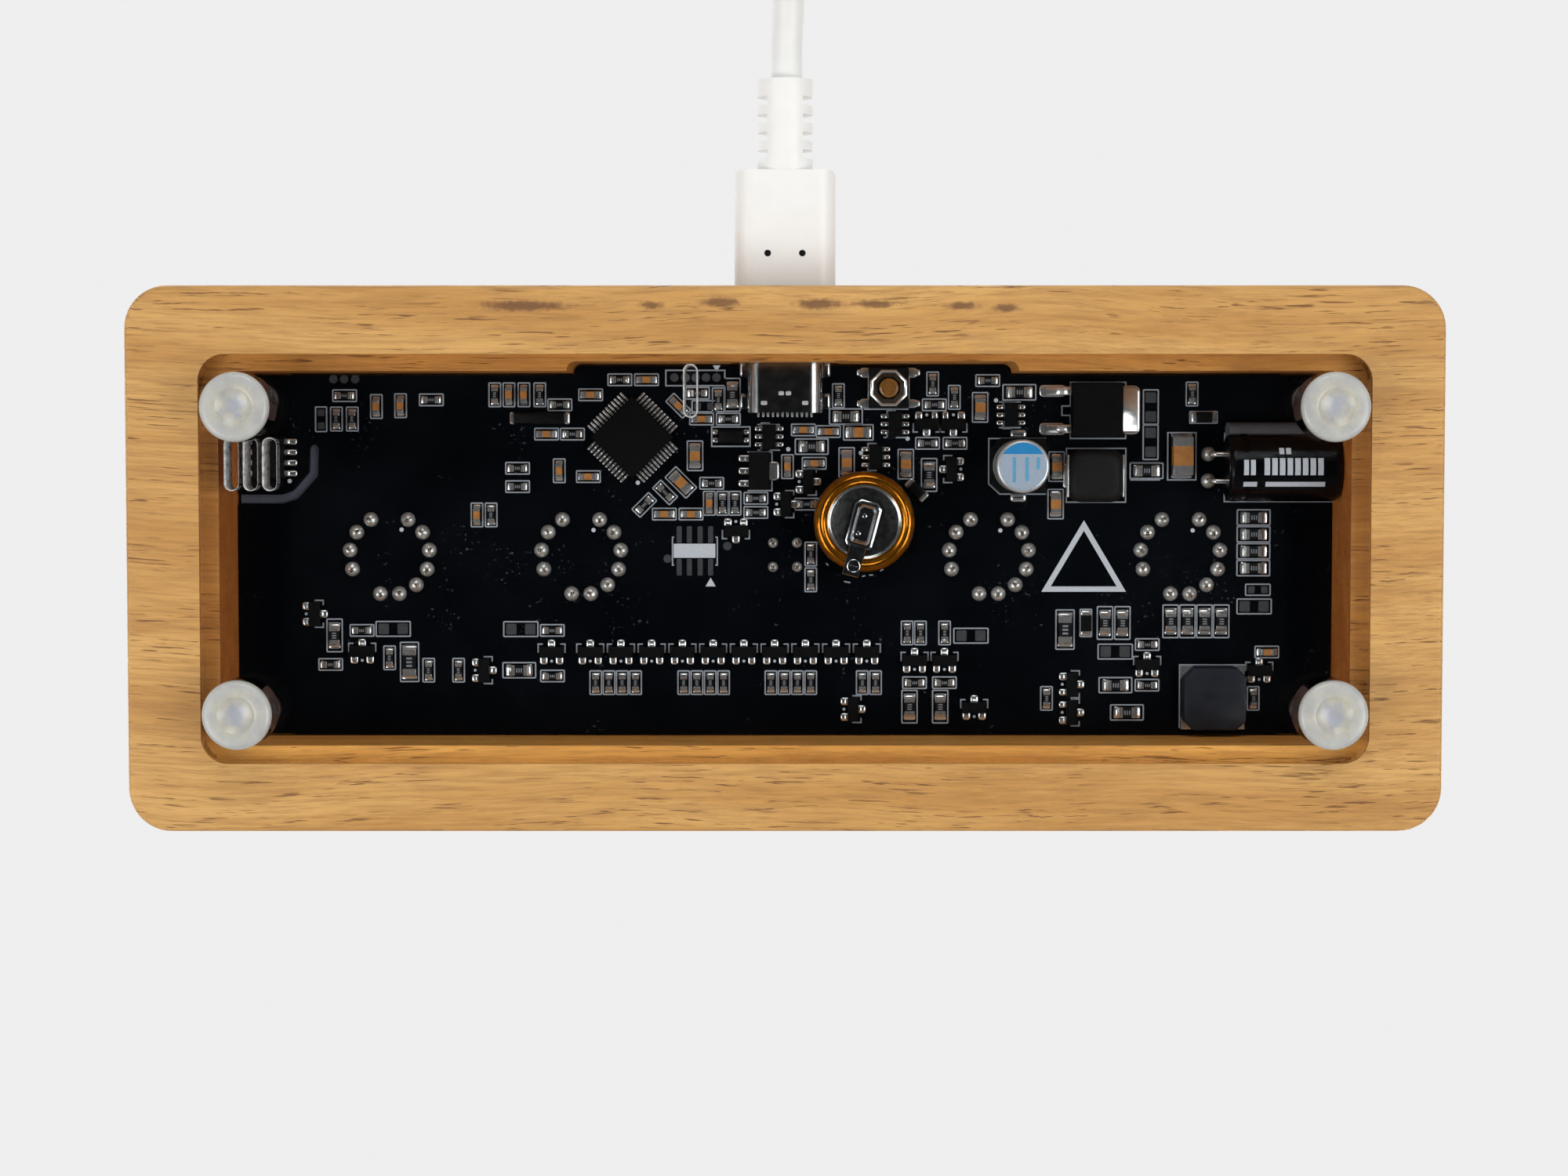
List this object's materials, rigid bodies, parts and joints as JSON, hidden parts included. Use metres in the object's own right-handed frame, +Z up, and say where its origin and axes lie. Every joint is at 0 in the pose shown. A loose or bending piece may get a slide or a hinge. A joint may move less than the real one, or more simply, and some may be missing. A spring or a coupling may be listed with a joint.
{
  "type": "nixie tube clock",
  "caption": "Desk clock: a timber block on clear feet holds a circuit board with upright neon digit tubes and a colon, and takes a USB lead at the rear.",
  "frame": {"origin": "middle of the clock's footprint, on the table under its feet", "axes": "+X to the right seen from the front, +Y to the rear where the lead plugs in, +Z up along the tubes"},
  "size_m": [0.1524, 0.1658, 0.0757],
  "materials": {
    "timber": "oiled, satin",
    "clear_acrylic": "polished",
    "clear_rubber": "translucent",
    "board": "black solder mask, satin",
    "bright_steel": "bright",
    "black_plastic": "matt",
    "amber_plastic": "moulded",
    "chip_epoxy": "matt moulded",
    "tinned_lead": "tinned",
    "solder": "bright solder",
    "amber_sleeve": "shrunk film",
    "black_sleeve": "shrunk film",
    "can_aluminium": "drawn",
    "silicone": "cured silicone",
    "resistor": "glazed",
    "capacitor_ceramic": "sintered",
    "tube_glass": "clear",
    "cathode": "stamped nickel",
    "anode": "dull nickel",
    "ceramic": "ceramic",
    "tube_wire": "drawn wire",
    "white_plastic": "moulded",
    "white_cable": "satin elastomer",
    "tie_fabric": "hook and loop"
  },
  "bodies": {
    "clock": {"wooden_case": "timber", "base_plate": "clear_acrylic", "feet": "clear_rubber", "circuit_board": "board", "board_screws": "bright_steel", "usb_socket_shell": "bright_steel", "usb_socket_tongue": "black_plastic", "reset_switch_base": "black_plastic", "reset_switch_cover": "bright_steel", "microcontroller": "chip_epoxy", "microcontroller_leads": "tinned_lead", "memory_cell_can": "bright_steel", "memory_cell_sleeve": "amber_sleeve", "memory_cell_tab": "bright_steel", "filter_capacitor_can": "can_aluminium", "filter_capacitor_base": "black_plastic", "high_voltage_capacitor": "black_sleeve", "high_voltage_capacitor_leads": "tinned_lead", "capacitor_glue": "silicone", "power_inductor": "chip_epoxy", "inductor_terminals": "tinned_lead", "buzzer": "black_plastic", "buzzer_terminals": "tinned_lead", "power_transistor": "chip_epoxy", "power_transistor_tab": "tinned_lead", "small_chips": "chip_epoxy", "chip_leads": "tinned_lead", "chip_resistors": "resistor", "chip_capacitors": "capacitor_ceramic", "diodes": "chip_epoxy", "crystals": "can_aluminium", "solder_joints": "solder", "tube_leads": "tube_wire", "tube_spacers": "white_plastic", "colon_lamps": "tube_glass", "colon_electrodes": "tube_wire", "tube_1_glass": "tube_glass", "tube_1_cathodes": "cathode", "tube_1_anode": "anode", "tube_1_supports": "ceramic", "tube_2_glass": "tube_glass", "tube_2_cathodes": "cathode", "tube_2_anode": "anode", "tube_2_supports": "ceramic", "tube_3_glass": "tube_glass", "tube_3_cathodes": "cathode", "tube_3_anode": "anode", "tube_3_supports": "ceramic", "tube_4_glass": "tube_glass", "tube_4_cathodes": "cathode", "tube_4_anode": "anode", "tube_4_supports": "ceramic"},
    "reset_button": {"reset_button": "amber_plastic"},
    "usb_lead": {"usb_plug_shell": "bright_steel", "usb_plug_grip": "white_cable", "usb_cable": "white_cable", "cable_coil": "white_cable", "cable_tie": "tie_fabric", "charger_plug_shell": "bright_steel", "charger_plug_grip": "white_cable"}
  },
  "joints": [
    {"name": "reset_button_press", "type": "slide", "parent": "clock", "child": "reset_button", "axis": [0, 0, 1], "range_m": [0, 0.00025], "stiffness_N_per_m": 2000, "springref_m": -0.0002},
    {"name": "usb_plug_pull", "type": "slide", "parent": "clock", "child": "usb_lead", "axis": [0, 1, 0], "range_m": [0, 0.009]}
  ]
}
